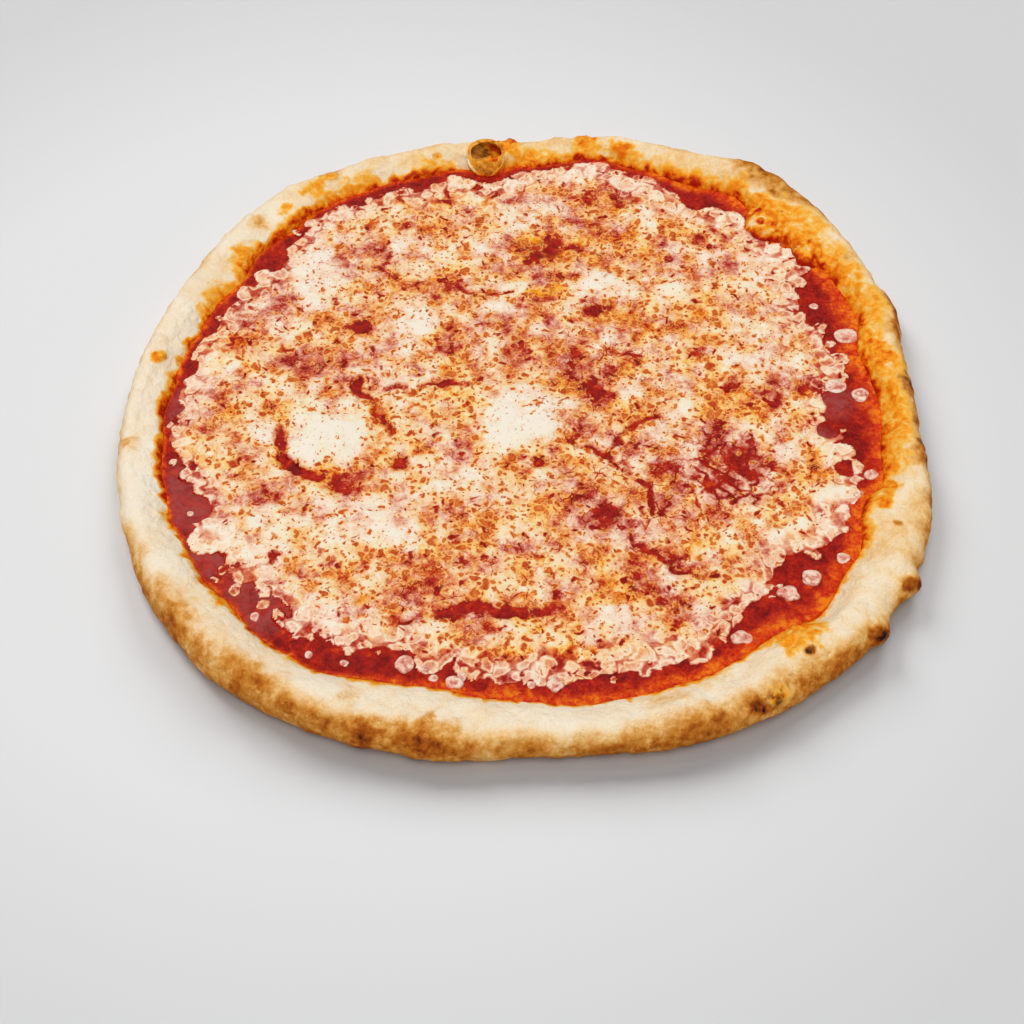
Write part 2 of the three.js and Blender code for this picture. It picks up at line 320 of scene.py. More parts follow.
def crept(bearing):
    """How far the inner slope has crept inwards at each bearing"""
    return 1.0 + sum(further * facing_bearing(centre, spread, bearing)
                     for centre, further, spread in SLOPE_CREEP)


rim += facing * (crept(rim_bearing) * smooth(0.6, 0.85, rim_station))[..., None]

FULL_HEIGHT = 15.3
ABOVE_TABLE = 0.4


def under_the_top(heights):
    """Keeps the highest bumps within the height that the solid part has"""
    return np.minimum(heights, FULL_HEIGHT + 0.35 * (heights - FULL_HEIGHT))


rim[..., 2] = np.maximum(under_the_top(rim[..., 2]), 0)
seen = as_seen(rim)
rim[-1, :, 2] = DISH_FLOOR

underside = [rim[0] * [part, part, 0] for part in UNDERSIDE_ROWS]
dish = [rim[-1] * [part, part, 0] + [0, 0, DISH_FLOOR] for part in DISH_ROWS]
crust_places = np.concatenate([underside, rim, dish])
crust, crust_row, crust_column = rolled_sheet("baked_crust", crust_places)

# How far each place is baked: 0 is pale dough, 0.5 golden brown, 0.85 dark brown, 1 black
right_side = facing_bearing(0, 70)
back_side = facing_bearing(90, 70)
# The golden side: bearing, how much darker, how much higher its top edge, spread in degrees
GOLDEN_SIDES = (
    (230, 0.13, 0.18, 40), (272, 0.16, 0.07, 42), (304, 0.2, 0.13, 28), (3, 0.24, 0.15, 28),
    (47, 0.14, 0.2, 14), (185, -0.2, 0.0, 60),
)
MOST_BAKED_SIDE = 0.48
golden = 0.34 + 0 * rim_bearing
side_top = 0.48 + 0 * rim_bearing
for centre, darker, higher, spread in GOLDEN_SIDES:
    golden = golden + darker * facing_bearing(centre, spread)
    side_top = side_top + higher * facing_bearing(centre, spread)
side = 1 - smooth(-0.32, 0.0, rim_station - side_top - 0.05 * hills(rim, 14, 62))
patchy = 0.5 + 0.4 * rough(rim, 26, 60) + 0.3 * rough(rim, 9, 61)
bake = side * golden * (0.6 + 0.7 * patchy)
bake += 0.1 * smooth(0.1, 0.9, patchy) + 0.05 + 0.06 * np.maximum(right_side, back_side)
bake = np.minimum(bake, MOST_BAKED_SIDE)

# x, y, reach, how much darker
TOASTED_PLACES = (
    (-5, 173, 6.5, 0.22), (31, 172.5, 7.5, 0.22), (50, 166, 7, 0.04), (107, 153, 10, 0.16),
    (117, 144, 10, 0.18), (123, 134, 6, 0.1), (164, 62, 10, 0.22), (167, 48, 9, 0.2),
    (169, 12, 8, 0.26), (169, -27, 7, 0.26), (158, -97, 6, 0.36), (141, -120, 6, 0.36),
    (113, -128, 2.8, 0.62), (99, -149, 5, 0.36), (91, -154, 5.5, 0.36), (57, -161, 14, 0.12),
    (-35, -168, 13, 0.2), (-59, -167, 9, 0.18), (-68, -149, 6, 0.2), (-110, -133, 9, 0.1),
    (-138, -109, 9, 0.1), (-121, -105, 4, 0.2), (-92, -128, 5, 0.16), (-166, -22, 6, 0.16),
    (-161, 28, 4, 0.32), (-150, 37, 2.6, 0.36), (-141, 67, 5, 0.18), (-129, 88, 7, 0.22),
    (-124, 115, 6, 0.18), (-93, 147, 6, 0.28), (-41, 161, 2.5, 0.32), (124, 122, 1.6, 0.6),
    (150, 92, 8, 0.15), (155, -65, 2, 0.4), (75, -140, 8, 0.12),
)
for x, y, reach, darker in TOASTED_PLACES:
    uneven = distance_to(seen, x, y) / reach + 0.35 * rough(rim, 3.5, 70)
    bake += darker * (1 - smooth(0.35, 1.15, uneven))

# How far the sauce's oil has stained the dough: 0.3 is yellow, 0.6 orange, 1 red.
# Bearing, how many millimetres of the rim it reaches, spread in degrees
OIL_REACH = (
    (40, 34, 20), (22, 18, 18), (68, 8, 12), (88, 6, 12), (100, 6, 10), (352, 20, 18),
    (335, 4, 12), (312, 16, 7), (150, 8, 14), (122, 8, 10), (5, 10, 20),
)
oil_reach = 4.6 + 0 * rim_bearing
for centre, further, spread in OIL_REACH:
    oil_reach = oil_reach + further * facing_bearing(centre, spread)
oil_reach = oil_reach * (1 + 0.55 * hills(rim, 11, 80) + 0.45 * hills(rim, 5, 81))
across_rim = np.linalg.norm(rim[..., :2], axis=-1)
from_foot = across_rim - across_rim[-1] + 0.8 * hills(rim, 6, 83) + 1.5 * hills(wrinkle_places, 2.6, 84)
from_foot = np.maximum(0, from_foot)
oil = 0.42 * (1 - smooth(0.0, 1.0, (from_foot - 1.2) / np.maximum(oil_reach, 1)))
oil += 0.4 * (1 - smooth(0.3, 3.4, from_foot))
oil *= smooth(0.25, 0.6, rim_station)
# x, y, reach, strength
OILY_PLACES = (
    (50, 166, 9, 0.44), (31, 169, 9, 0.48), (-5, 167, 8, 0.46), (108, -121, 14, 0.42),
    (154, -46, 7, 0.55), (150, -54, 6, 0.5), (111, 114, 12, 0.45), (132, 96, 7, 0.4),
    (-161, 28, 5, 0.45), (-150, 37, 4, 0.5), (-141, 67, 6, 0.3), (-129, 88, 8, 0.45),
    (-41, 161, 3, 0.55), (-44, 153, 10, 0.35), (-92, -128, 5, 0.55), (-121, -105, 4, 0.5),
    (98, -149, 6, 0.35), (-93, 147, 5, 0.35), (113, 115, 3, 0.6), (165, 20, 12, 0.3),
    (156, 30, 13, 0.55), (158, 8, 10, 0.4), (148, 66, 16, 0.4), (140, 84, 16, 0.42),
    (-100, 138, 8, 0.36), (-112, 122, 7, 0.3), (-5, 173, 6, 0.66), (31, 172.5, 7, 0.66),
)
for x, y, reach, strength in OILY_PLACES:
    uneven = distance_to(seen, x, y) / reach + 0.3 * rough(rim, 4, 82)
    oil = np.maximum(oil, strength * (1 - smooth(0.3, 1.1, uneven)))

spare_rows = np.zeros((len(UNDERSIDE_ROWS), COLUMNS))
dish_rows = np.zeros((len(DISH_ROWS), COLUMNS))
coat(crust, "bake", np.concatenate([spare_rows + 0.42, bake, dish_rows])[crust_row, crust_column])
coat(crust, "oil", np.concatenate([spare_rows, oil, dish_rows + 1])[crust_row, crust_column])
flour = left_side * smooth(0.3, 0.5, rim_station)
flour += 0.85 * facing_bearing(272, 60) * smooth(0.42, 0.6, rim_station)
flour = np.clip(flour * (0.8 + 0.4 * hills(rim, 9, 90)), 0, 1)
coat(crust, "flour", np.concatenate([spare_rows, flour, dish_rows])[crust_row, crust_column])
close_seams()


def colour(red, green, blue):
    """A colour as seen on a screen, from 0 to 255, as the shader's linear one"""
    shares = [share / 255 for share in (red, green, blue)]
    return [share / 12.92 if share < 0.04 else ((share + 0.055) / 1.055) ** 2.4
            for share in shares] + [1.0]


def new_material(name):
    """Starts a procedural material, and gives its shader too: nodes added after this are its own"""
    global finish
    finish = bpy.data.materials.new(name)
    finish.use_nodes = True
    return finish, finish.node_tree.nodes["Principled BSDF"]


def set_inputs(node, **inputs):
    """Links an input to another node's output, or sets its value. Its name has _ for a space, or
    is i and its number"""
    for name, value in inputs.items():
        key = int(name[1:]) if name[0] == "i" and name[1:].isdigit() else name.replace("_", " ")
        if isinstance(value, bpy.types.NodeSocket):
            finish.node_tree.links.new(value, node.inputs[key])
        else:
            node.inputs[key].default_value = value


def add_node(kind, settings=None, **inputs):
    node = finish.node_tree.nodes.new("ShaderNode" + kind)
    for name, value in (settings or {}).items():
        setattr(node, name, value)
    set_inputs(node, **inputs)
    return node


def stored(name):
    """The value that coat() stored on the mesh"""
    return add_node("Attribute", {"attribute_name": name}).outputs["Fac"]


def place_on(shift=(0.0, 0.0, 0.0)):
    place = add_node("TexCoord").outputs["Object"]
    return add_node("Mapping", Vector=place, Location=shift).outputs[0]


def mottle(size, shift=0.0, detail=2.0, distortion=0.0, roughness=0.5):
    """Noise with spots this many millimetres across, from 0 to 1"""
    place = place_on((shift, shift * 0.7, shift * 1.3))
    return add_node("TexNoise", Vector=place, Scale=1000 / size, Detail=detail,
                    Distortion=distortion, Roughness=roughness).outputs["Fac"]


def sum_of(first, second, clamp=False):
    return add_node("Math", {"operation": "ADD", "use_clamp": clamp},
                    i0=first, i1=second).outputs[0]


def product(first, second):
    return add_node("Math", {"operation": "MULTIPLY"}, i0=first, i1=second).outputs[0]


def ranged(value, low, high, new_low, new_high, kind="LINEAR"):
    """Carries low to high over to new_low to new_high, and holds the ends"""
    return add_node("MapRange", {"interpolation_type": kind}, i0=value, i1=low, i2=high,
                    i3=new_low, i4=new_high).outputs[0]


def graded(value, stops):
    """A colour that follows a value along a row of stops"""
    ramp = add_node("ValToRGB", Fac=value)
    marks = ramp.color_ramp.elements
    while len(marks) < len(stops):
        marks.new(0.5)
    for mark, (position, shade) in zip(marks, stops):
        mark.position = position
        mark.color = colour(*shade)
    return ramp.outputs["Color"]


def blended(share, first, second):
    """Two colours mixed by a share"""
    return add_node("Mix", {"data_type": "RGBA"}, i0=share, i6=first, i7=second).outputs[2]


def bump(height, distance, strength=1.0, under=None):
    """Fine relief from a value, this many millimetres deep"""
    inputs = {"Height": height, "Distance": distance / 1000, "Strength": strength}
    if under is not None:
        inputs["Normal"] = under
    return add_node("Bump", **inputs).outputs["Normal"]


baked_dough, dough_shader = new_material("baked_dough")
large_spots = mottle(9, 0.11, 3, 0.6)
small_spots = mottle(2.6, 0.23, 3, 0.4)
grains = mottle(0.9, 0.37, 2)
bake_here = stored("bake")
bake_spread = sum_of(ranged(large_spots, 0.3, 0.7, 0.65, 1.3),
                     ranged(small_spots, 0.3, 0.7, -0.2, 0.2))
bake_here = sum_of(product(bake_here, bake_spread),
                   ranged(grains, 0.3, 0.7, -0.035, 0.035), True)
dough_colour = graded(bake_here, (
    (0.0, (250, 238, 216)), (0.1, (248, 224, 186)), (0.2, (244, 202, 140)),
    (0.32, (229, 170, 92)), (0.45, (206, 134, 50)), (0.58, (180, 98, 24)),
    (0.7, (150, 72, 16)), (0.82, (110, 48, 10)), (0.92, (60, 26, 10)), (1.0, (26, 14, 10)),
))
flour_here = product(stored("flour"),
                     ranged(small_spots, 0.32, 0.62, 0.35, 0.85))
flour_here = product(flour_here, ranged(bake_here, 0.16, 0.36, 1.0, 0.0))
dough_colour = blended(flour_here, dough_colour, colour(250, 240, 222))
oil_here = stored("oil")
blotches = mottle(6, 0.71, 2.5, 1.0)
oil_uneven = product(oil_here, sum_of(ranged(small_spots, 0.3, 0.7, -0.3, 0.3),
                                      ranged(blotches, 0.35, 0.65, 0.7, 1.4)))
oil_colour = graded(oil_uneven, (
    (0.0, (250, 218, 150)), (0.22, (251, 194, 86)), (0.42, (249, 160, 34)),
    (0.62, (236, 118, 8)), (0.82, (212, 72, 2)), (1.0, (176, 30, 2)),
))
oil_share = ranged(oil_uneven, 0.05, 0.32, 0.0, 1.0, "SMOOTHSTEP")
darkness = ranged(bake_here, 0.45, 0.8, 1.0, 0.15)
dough_colour = blended(product(oil_share, darkness), dough_colour, oil_colour)
dough_relief = bump(grains, 0.4, 0.7, bump(small_spots, 1.1, 0.8))
set_inputs(dough_shader, Base_Color=dough_colour, Normal=dough_relief,
           Roughness=ranged(oil_here, 0.2, 0.9, 0.72, 0.34), Specular_IOR_Level=0.07,
           Subsurface_Weight=0.05, Subsurface_Radius=(0.003, 0.0015, 0.0008), Subsurface_Scale=1.0)

# The burst bubble: a thin browned shell at the back of the rim, open towards the front
BUBBLE_COLUMNS = 96
bubble_turns = np.arange(BUBBLE_COLUMNS) * 2 * math.pi / BUBBLE_COLUMNS
lip = 40 + 8 * np.cos(bubble_turns * 2) + 2.5 * np.sin(bubble_turns * 5) \
    + 2.5 * np.sin(bubble_turns * 9 + 2)
shell_rows = []
shell_depth = []
for part in np.linspace(0, 1, 26):
    polar = np.radians(165 + part * (lip - 165))
    shell_rows.append(ringed(BUBBLE_RADIUS * np.sin(polar),
                             0.92 * BUBBLE_RADIUS * np.cos(polar), bubble_turns))
    shell_depth.append(np.zeros(BUBBLE_COLUMNS))
for part in np.linspace(0.04, 1, 22):
    polar = np.radians(lip + part * (172 - lip))
    wall = 0.7 + 2.2 * part
    shell_rows.append(ringed((BUBBLE_RADIUS - wall) * np.sin(polar),
                             (0.86 * BUBBLE_RADIUS - wall) * np.cos(polar), bubble_turns))
    shell_depth.append(np.full(BUBBLE_COLUMNS, part))
shell_rows = np.array([0 * shell_rows[0] + shell_rows[0].mean(axis=0)] + shell_rows
                      + [0 * shell_rows[-1] + shell_rows[-1].mean(axis=0)])
shell_depth = np.array([shell_depth[0]] + shell_depth + [shell_depth[-1]])
BUBBLE_TILT = math.radians(20)
tilt_cos, tilt_sin = math.cos(BUBBLE_TILT), math.sin(BUBBLE_TILT)
tilted = shell_rows.copy()
tilted[..., 1] = shell_rows[..., 1] * tilt_cos - shell_rows[..., 2] * tilt_sin
tilted[..., 2] = shell_rows[..., 1] * tilt_sin + shell_rows[..., 2] * tilt_cos
inside = smooth(0.0, 0.1, shell_depth)
uneven = 0.25 * rough(tilted, 6, 30) + inside * 0.8 * rough(tilted, 3.2, 31)
tilted *= 1 + uneven[..., None] / BUBBLE_RADIUS
BUBBLE_CENTRE = 7.2
BOWL_FLOOR = 9.6
in_bowl = shell_depth > 0.3
bowl_floor = BOWL_FLOOR - BUBBLE_CENTRE + 0.5 * rough(tilted, 4, 33)
tilted[..., 2] = np.where(in_bowl, np.maximum(tilted[..., 2], bowl_floor), tilted[..., 2])
bubble_places = tilted + np.array([*BUBBLE_PLACE, BUBBLE_CENTRE])
bubble_places[..., 2] = np.maximum(under_the_top(bubble_places[..., 2]), ABOVE_TABLE)
bubble, bubble_row, bubble_column = rolled_sheet("burst_bubble", bubble_places)
to_right = smooth(-4, 6, bubble_places[..., 0] - BUBBLE_PLACE[0])
to_front = smooth(1, -5, bubble_places[..., 1] - BUBBLE_PLACE[1])
bubble_bake = np.where(shell_depth > 0.02, 0.64 - 0.1 * to_right - 0.14 * to_front, 0.56)
bubble_bake = bubble_bake + 0.12 * rough(tilted, 3, 32)
bubble_oil = np.where(shell_depth > 0.02, 0.28 + 0.4 * to_right, 0.34)
coat(bubble, "bake", bubble_bake[bubble_row, bubble_column])
coat(bubble, "oil", bubble_oil[bubble_row, bubble_column])
coat(bubble, "flour", 0 * bubble_bake[bubble_row, bubble_column])
close_seams()

# Stained lumps of dough bulge from the rim's inner slope at the back right.
# x, y, height of the middle, half width across, along and up
LUMPS = ((116.5, 113.5, 6.4, 11.6, 10.8, 6.4), (135.5, 95.5, 6.2, 7.8, 10.5, 5.4))
lumps = []
for x, y, z, wide, deep, tall in LUMPS:
    bpy.ops.mesh.primitive_ico_sphere_add(subdivisions=5, radius=1)
    lump = bpy.context.object
    ball = corners_of(lump) * [wide, deep, tall]
    strands = 1 - 2 * np.abs(hills(ball * [1, 0.45, 1] + x, 3.6, 34))
    swell = 1.5 * rough(ball + x, 8, 35) + 0.7 * strands + 0.3 * hills(ball, 1.8, 36)
    ball *= 1 + swell[:, None] / wide
    ball += [x, y, z]
    ball[:, 2] = np.maximum(ball[:, 2], ABOVE_TABLE)
    move_corners(lump, ball)
    low_down = 1 - smooth(6.5, 10.0, ball[:, 2] + 1.2 * hills(ball, 5, 37))
    red_spot = 1 - smooth(0.5, 1.1, distance_to(as_seen(ball), 113, 115) / 2.6 + 0.3 * hills(ball, 2, 38))
    coat(lump, "bake", 0.06 + 0.06 * rough(ball, 5, 39))
    streaks = 0.34 + 0.26 * strands + 0.2 * rough(ball, 4, 40)
    coat(lump, "oil", np.maximum(streaks + 0.55 * low_down, red_spot))
    coat(lump, "flour", 0 * low_down)
    bpy.ops.object.shade_smooth()
    lumps.append(lump)

join_to_first((crust, bubble, *lumps))
crust.data.materials.clear()
crust.data.materials.append(baked_dough)
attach(crust, "root")
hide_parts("crust")

# --- The sauce ---
# Thick cooked tomato, spread in the dish of the crust and run up against the foot of the rim,
# glossy where it is bare, with a fine wrinkled skin and, in places, a pinkish veil that is partly a film
# of whey and partly painted sheen.

SAUCE_LEVEL = 6.0
SAUCE_FLOOR = 4.9
SAUCE_COLUMNS = 840
sauce_turns = np.arange(SAUCE_COLUMNS) * 2 * math.pi / SAUCE_COLUMNS
at_cad_columns = slice(None, None, COLUMNS // CAD_COLUMNS)
foot_radius = resampled(ring_radius[at_cad_columns, -1], SAUCE_COLUMNS)
sauce_edge = foot_radius + 2.4 - crept(np.degrees(sauce_turns))
sauce_shares = np.concatenate([[0.0], np.linspace(0.2, 0.62, 12), np.linspace(0.635, 1.0, 50)])
sauce_top = np.array([ringed(share * sauce_edge, SAUCE_LEVEL, sauce_turns) for share in sauce_shares])
sauce_relief = 0.16 * hills(sauce_top, 14, 100) + 0.14 * hills(sauce_top, 6, 101)
sauce_relief = sauce_relief + 0.1 * hills(sauce_top, 3, 102)
to_wall = smooth(0.955, 1.0, sauce_shares)[:, None]
sauce_top[..., 2] += sauce_relief + 0.5 * to_wall
sauce_skirt = np.array([sauce_top[-1] * [1, 1, 0] + [0, 0, SAUCE_FLOOR],
                        sauce_top[-1] * [0, 0, 0] + [0, 0, SAUCE_FLOOR]])
sauce_places = np.concatenate([sauce_top, sauce_skirt])
sauce, sauce_row, sauce_column = rolled_sheet("tomato_sauce", sauce_places)

# The sauce has cooked to a bright orange red where it lies thin against the rim
turned = (np.degrees(sauce_turns) + 180) % 360 - 180
baked_width = 3.0 + 7.0 * (1 - smooth(35, 85, np.abs(turned - 5)))
baked_width += 5.0 * (1 - smooth(12, 40, np.abs(turned + 82)))
baked_width = baked_width * (1 + 0.4 * hills(sauce_places, 9, 103) + 0.3 * hills(sauce_places, 4, 104))
from_wall = sauce_edge - np.hypot(sauce_places[..., 0], sauce_places[..., 1])
baked_on = 1 - smooth(0.3, 1.15, from_wall / baked_width)
coat(sauce, "baked_on", baked_on[sauce_row, sauce_column])

# A pinkish veil lies on it in places, partly a thin film of whey and partly painted sheen: x, y, reach
whey_and_sheen = 0 * baked_on
for x, y, reach_in in ((136, 2, 12), (128, -20, 9), (-140, -50, 22), (-108, -106, 20), (-128, -82, 16),
                       (-150, 0, 12)):
    whey_and_sheen = np.maximum(whey_and_sheen, 1 - smooth(0.5, 1.1, distance_to(sauce_places, x, y) / reach_in))
coat(sauce, "whey_and_sheen", (whey_and_sheen * (1 - baked_on))[sauce_row, sauce_column])
close_seams()


def sauce_colours():
    """The sauce's colour, and the mottle that it and the relief follow"""
    pulp = sum_of(product(mottle(7, 0.51, 3, 0.8), 0.6), product(mottle(1.6, 0.63, 3, 0.6), 0.4))
    return graded(pulp, (
        (0.34, (110, 8, 4)), (0.44, (138, 14, 6)), (0.52, (160, 22, 8)),
        (0.6, (184, 34, 8)), (0.7, (214, 72, 12)),
    )), pulp


red_sauce, sauce_shader = new_material("red_sauce")
sauce_colour, pulp = sauce_colours()
baked_here = stored("baked_on")
baked_colour = graded(sum_of(pulp, product(baked_here, 0.12)), (
    (0.42, (160, 16, 2)), (0.52, (196, 36, 2)), (0.62, (218, 70, 4)), (0.72, (238, 124, 14)),
))
sauce_colour = blended(baked_here, sauce_colour, baked_colour)
# The veil's pinkish grey is partly painted sheen: a reflection of the lamps laid into the sauce's colour
whey_and_sheen_veil = product(stored("whey_and_sheen"), ranged(mottle(5, 0.42, 3, 1.2), 0.35, 0.65, 0.2, 0.85))
sauce_colour = blended(whey_and_sheen_veil, sauce_colour, colour(164, 70, 66))
wrinkled_skin = bump(mottle(3.4, 0.93, 2, 2.2), 0.8, 0.6)
set_inputs(sauce_shader, Base_Color=sauce_colour, Normal=bump(pulp, 0.9, 0.7, wrinkled_skin),
           Roughness=ranged(pulp, 0.35, 0.65, 0.2, 0.4), Specular_IOR_Level=0.08)
sauce.data.materials.append(red_sauce)
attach(sauce, "root")
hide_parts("sauce")

# --- The cheese ---
# Shredded mozzarella, melted into one thin uneven blanket: white where it lies thick, orange and
# speckled where the sauce's oil comes through, and gone over a few bare patches of sauce.

CHEESE_PITCH = 0.85
CHEESE_REACH = 160
SINK = 5.55
CHEESE_UNDERSIDE = 5.2
MARGIN_STEP = 2.4

cheese_corners = corners_of(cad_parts["cheese"]) * 1000 - np.array(MIDDLE)
margin_bearings = np.arange(0, 360, MARGIN_STEP)
margin_column = np.degrees(np.arctan2(cheese_corners[:, 1], cheese_corners[:, 0])) / MARGIN_STEP
margin_column = np.round(margin_column).astype(int) % len(margin_bearings)
margin = np.zeros(len(margin_bearings))
np.maximum.at(margin, margin_column, np.hypot(cheese_corners[:, 0], cheese_corners[:, 1]))

cheese_steps = int(2 * CHEESE_REACH / CHEESE_PITCH)
bpy.ops.mesh.primitive_grid_add(x_subdivisions=cheese_steps, y_subdivisions=cheese_steps,
                                size=2 * CHEESE_REACH)
cheese = bpy.context.object
cheese.name = "melted_cheese"
spots = corners_of(cheese)
across, up = spots[:, 0], spots[:, 1]
reach = np.hypot(across, up)
turn = np.degrees(np.arctan2(up, across))
edge = np.interp(turn, margin_bearings, margin, period=360)
pulled_across = across + 2.4 * hills(spots, 8, 114) + 1.3 * hills(spots, 3.6, 115)
pulled_up = up + 2.4 * hills(spots, 8, 116) + 1.3 * hills(spots, 3.6, 117)


def near(x, y, along, across_size=None, lean=0.0):
    """1 in the middle of an uneven oval patch and 0 outside it, turned by lean degrees"""
    lean = math.radians(lean)
    side_on = (pulled_across - x) * math.cos(lean) + (pulled_up - y) * math.sin(lean)
    end_on = (pulled_up - y) * math.cos(lean) - (pulled_across - x) * math.sin(lean)
    return 1 - smooth(0.25, 1.15, np.hypot(side_on / along, end_on / (across_size or along)))


# The blanket is about half a unit thick everywhere, and thins out over its last few millimetres
melt = 0.56 + 0 * across
melt += 0.15 * hills(spots, 24, 110) + 0.21 * hills(spots, 12, 111)
melt += 0.21 * hills(spots, 6.5, 112) + 0.14 * hills(spots, 3.4, 113)

# x, y, along, across, lean, how much thicker: the whitest places
THICK_PLACES = (
    (0, -6, 21, 19, 0, 0.5), (-86, -20, 19, 18, 0, 0.75), (-68, -14, 9, 9, 0, 0.35),
    (-92, 80, 17, 18, 0, 0.34), (-47, 48, 13, 12, 0, 0.26), (34, 75, 16, 12, 0, 0.36),
    (55, 115, 16, 13, 0, 0.36), (-110, -73, 22, 18, -30, 0.3), (-128, -72, 9, 8, 0, 0.25),
    (-142, -26, 7, 7, 0, 0.3), (132, -52, 11, 10, 0, 0.34), (117, -49, 9, 8, 0, 0.25),
    (127, -66, 9, 8, 0, 0.3), (118, -78, 8, 7, 0, 0.3), (-30, 100, 20, 12, 10, 0.16),
    (100, 40, 18, 22, 0, 0.14), (-120, 20, 16, 22, 0, 0.12), (-60, -66, 20, 14, 0, 0.16),
    (10, 128, 16, 9, 0, 0.1), (-100, -100, 14, 10, -30, 0.18),
)
for x, y, along, wide, lean, thicker in THICK_PLACES:
    melt += thicker * near(x, y, along, wide, lean)

# x, y, along, across, lean, how much thinner: where the sauce comes through
THIN_PLACES = (
    (87, -40, 26, 19, -38, 0.12), (-3, -31, 9, 5, 0, 0.5), (9, -30, 7, 4, 20, 0.5),
    (32, 55, 5, 4.5, 20, 0.6), (28, 62, 4, 3.5, 0, 0.5), (11, 69, 9, 6, 0, -0.1),
    (-50, -35, 7, 7, 0, 0.5), (-43, -23, 6, 5, 0, 0.35), (-104, -51, 7, 6, 0, 0.3),
    (-80, -46, 7, 5, 0, 0.35), (36, 115, 7, 6, 0, 0.4), (85, 103, 7, 8, 0, 0.45),
    (76, 29, 6, 6, 0, 0.3), (94, 13, 6, 7, 0, 0.35), (31, 9, 6, 6, 0, 0.35),
    (63, -84, 8, 8, 0, 0.4), (-12, -108, 26, 4.5, 4, 0.3), (90, 130, 15, 12, -40, 0.6),
    (-72, 48, 5, 6, 0, 0.3), (-91, 52, 8, 6, 0, 0.25), (-63, 76, 6, 7, 0, 0.25),
    (-26, 93, 10, 5, 10, 0.3), (7, 97, 15, 13, 0, 0.16), (-64, 93, 6, 6, 0, 0.25),
    (-57, 113, 6, 6, 0, 0.25), (20, -70, 22, 10, 10, 0.16), (40, -60, 18, 12, 0, 0.16),
    (-80, -90, 14, 7, 30, 0.2), (60, -110, 24, 8, 10, 0.14),
)
for x, y, along, wide, lean, thinner in THIN_PLACES:
    melt -= thinner * near(x, y, along, wide, lean)

# Thin lines of sauce that follow the edges of what lies thick: half width, how much thinner, bends
RED_LINES = (
    (3.2, 0.6, ((-105, -15), (-103, -27), (-96, -36), (-86, -40))),
    (3.0, 0.6, ((-74, 13), (-66, 1), (-60, -8), (-57, -17))),
    (1.7, 0.5, ((-61, 8), (-40, 11), (-19, 14))),
    (2.2, 0.35, ((-36, -110), (-16, -107), (0, -111), (13, -108))),
    (2.0, 0.4, ((20, -20), (34, -26), (52, -44), (56, -60))),
    (1.6, 0.4, ((36, -30), (44, -12), (58, -8))),
    (1.8, 0.4, ((-30, 72), (-16, 66), (-2, 70))),
    (1.8, 0.4, ((44, -74), (60, -88), (82, -92))),
)


def from_line(bends):
    """How many millimetres each place on the blanket is from a bent line"""
    gap = np.full(len(spots), 999.0)
    for (x, y), (next_x, next_y) in zip(bends[:-1], bends[1:]):
        span_x, span_y = next_x - x, next_y - y
        along = (pulled_across - x) * span_x + (pulled_up - y) * span_y
        along = np.clip(along / (span_x ** 2 + span_y ** 2), 0, 1)
        gap = np.minimum(gap, np.hypot(pulled_across - x - along * span_x, pulled_up - y - along * span_y))
    return gap


for half_width, thinner, bends in RED_LINES:
    melt -= thinner * (1 - smooth(0.3, 1.2, from_line(bends) / half_width))

# The margin is scalloped into lobes by the last shreds that melted there
LOBES = 340
lobe_rng = np.random.default_rng(120)
ragged = edge - reach + 3.2 * hills(spots, 12, 121) + 1.2 * hills(spots, 5, 122) - 1
ragged += 3.5 * (1 - smooth(12, 30, np.abs(turn - 74)))
lobe_melt = np.full(len(spots), -1.0)


def add_lobe(x, y, size, narrow, slant, clear):
    """Spreads one shred over the blanket's depth: clear in its middle, with a paler rim"""
    here = np.flatnonzero((np.abs(across - x) < size * 1.2) & (np.abs(up - y) < size * 1.2))
    along = (across[here] - x) * math.cos(slant) + (up[here] - y) * math.sin(slant)
    aside = (up[here] - y) * math.cos(slant) - (across[here] - x) * math.sin(slant)
    gap = np.hypot(along, aside / narrow) / size + 0.1 * hills(spots[here], 3.5, 124)
    ragged[here] = np.maximum(ragged[here], 3.0 * (1 - gap))
    pale_rim = smooth(0.4, 0.72, gap) * (1 - smooth(0.86, 1.0, gap))
    lobe_melt[here] = np.maximum(lobe_melt[here], np.where(gap < 1, clear + 0.2 * pale_rim, -1))


for _ in range(LOBES):
    bearing = lobe_rng.uniform(0, 360)
    inward = lobe_rng.uniform(-2.5, 12)
    size = lobe_rng.uniform(1.6, 3.2) if inward < 0 else lobe_rng.uniform(2.6, 6.4)
    narrow = lobe_rng.uniform(0.5, 1.0)
    slant = lobe_rng.uniform(0, math.pi)
    out = np.interp(bearing, margin_bearings, margin, period=360) - inward
    add_lobe(out * math.cos(math.radians(bearing)), out * math.sin(math.radians(bearing)),
             size, narrow, slant, lobe_rng.uniform(0.24, 0.56))

